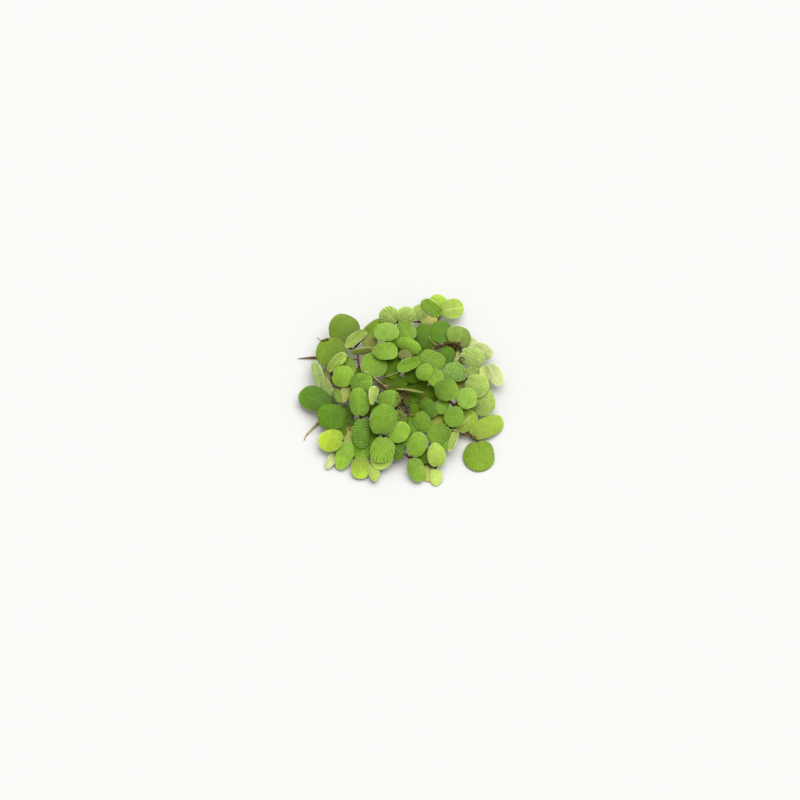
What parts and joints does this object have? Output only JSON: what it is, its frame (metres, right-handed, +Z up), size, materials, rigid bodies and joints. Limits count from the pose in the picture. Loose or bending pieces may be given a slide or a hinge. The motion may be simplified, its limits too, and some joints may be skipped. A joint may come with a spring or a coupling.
{
  "type": "floating fern",
  "caption": "Low clump of floating fern lying as lifted from the water: paired oval leaves on branched brown stems, with brown hanging roots under them",
  "frame": {"origin": "the middle of the bottom of the clump's box, on the surface it lies on", "axes": "+Z is up, out of the surface. +Y points away from the picture's camera, and +X is to the picture's right."},
  "size_m": [0.083, 0.0886, 0.0121],
  "materials": {
    "leaf_bright": "young leaf, thin and softly waxy, with rows of tiny pale hairs",
    "leaf_light": "leaf, softly waxy, with rows of tiny pale hairs",
    "leaf_mid": "full-grown leaf, softly waxy, with rows of tiny pale hairs",
    "leaf_dark": "older leaf, softly waxy, with a brownish margin",
    "stem_brown": "soft fibrous stem with fine brown hairs",
    "root_tan": "thin fibrous root strands, matte"
  },
  "bodies": {
    "root": {"leaf_upper_left_1": "leaf_mid", "leaf_upper_left_2": "leaf_mid", "leaf_upper_left_3": "leaf_bright", "leaf_upper_left_4": "leaf_light", "leaf_upper_left_5": "leaf_light", "leaf_left_1": "leaf_dark", "leaf_left_2": "leaf_dark", "leaf_top_1": "leaf_light", "leaf_top_2": "leaf_light", "leaf_top_3": "leaf_light", "leaf_top_4": "leaf_bright", "leaf_top_5": "leaf_bright", "leaf_top_6": "leaf_mid", "leaf_upper_right_1": "leaf_mid", "leaf_upper_right_2": "leaf_mid", "leaf_upper_right_3": "leaf_light", "leaf_right_1": "leaf_light", "leaf_right_2": "leaf_mid", "leaf_right_3": "leaf_light", "leaf_middle_1": "leaf_light", "leaf_middle_2": "leaf_light", "leaf_middle_3": "leaf_light", "leaf_middle_4": "leaf_light", "leaf_middle_5": "leaf_light", "leaf_middle_6": "leaf_mid", "leaf_middle_7": "leaf_light", "leaf_lower_left_1": "leaf_dark", "leaf_lower_left_2": "leaf_mid", "leaf_lower_left_3": "leaf_bright", "leaf_lower_left_4": "leaf_bright", "leaf_lower_left_5": "leaf_bright", "leaf_bottom_1": "leaf_light", "leaf_bottom_2": "leaf_light", "leaf_bottom_3": "leaf_light", "leaf_bottom_4": "leaf_mid", "leaf_bottom_5": "leaf_mid", "leaf_bottom_6": "leaf_mid", "leaf_bottom_7": "leaf_mid", "leaf_bottom_8": "leaf_light", "leaf_bottom_9": "leaf_bright", "leaf_bottom_10": "leaf_bright", "leaf_lower_right_1": "leaf_bright", "leaf_lower_right_2": "leaf_mid", "leaf_right_4": "leaf_light", "leaf_right_5": "leaf_mid", "leaf_right_6": "leaf_light", "stem_main": "stem_brown", "stem_upper_left": "stem_brown", "stem_left": "stem_brown", "stem_lower_left": "stem_brown", "stem_lower_right": "stem_brown", "stem_right": "stem_brown", "stem_upper_right": "stem_brown", "root_left_spike": "root_tan", "root_left_curved": "root_tan", "root_middle": "root_tan", "root_tuft_middle": "root_tan", "root_tuft_left": "root_tan", "root_tuft_right": "root_tan", "root_tuft_front": "root_tan"}
  },
  "joints": []
}
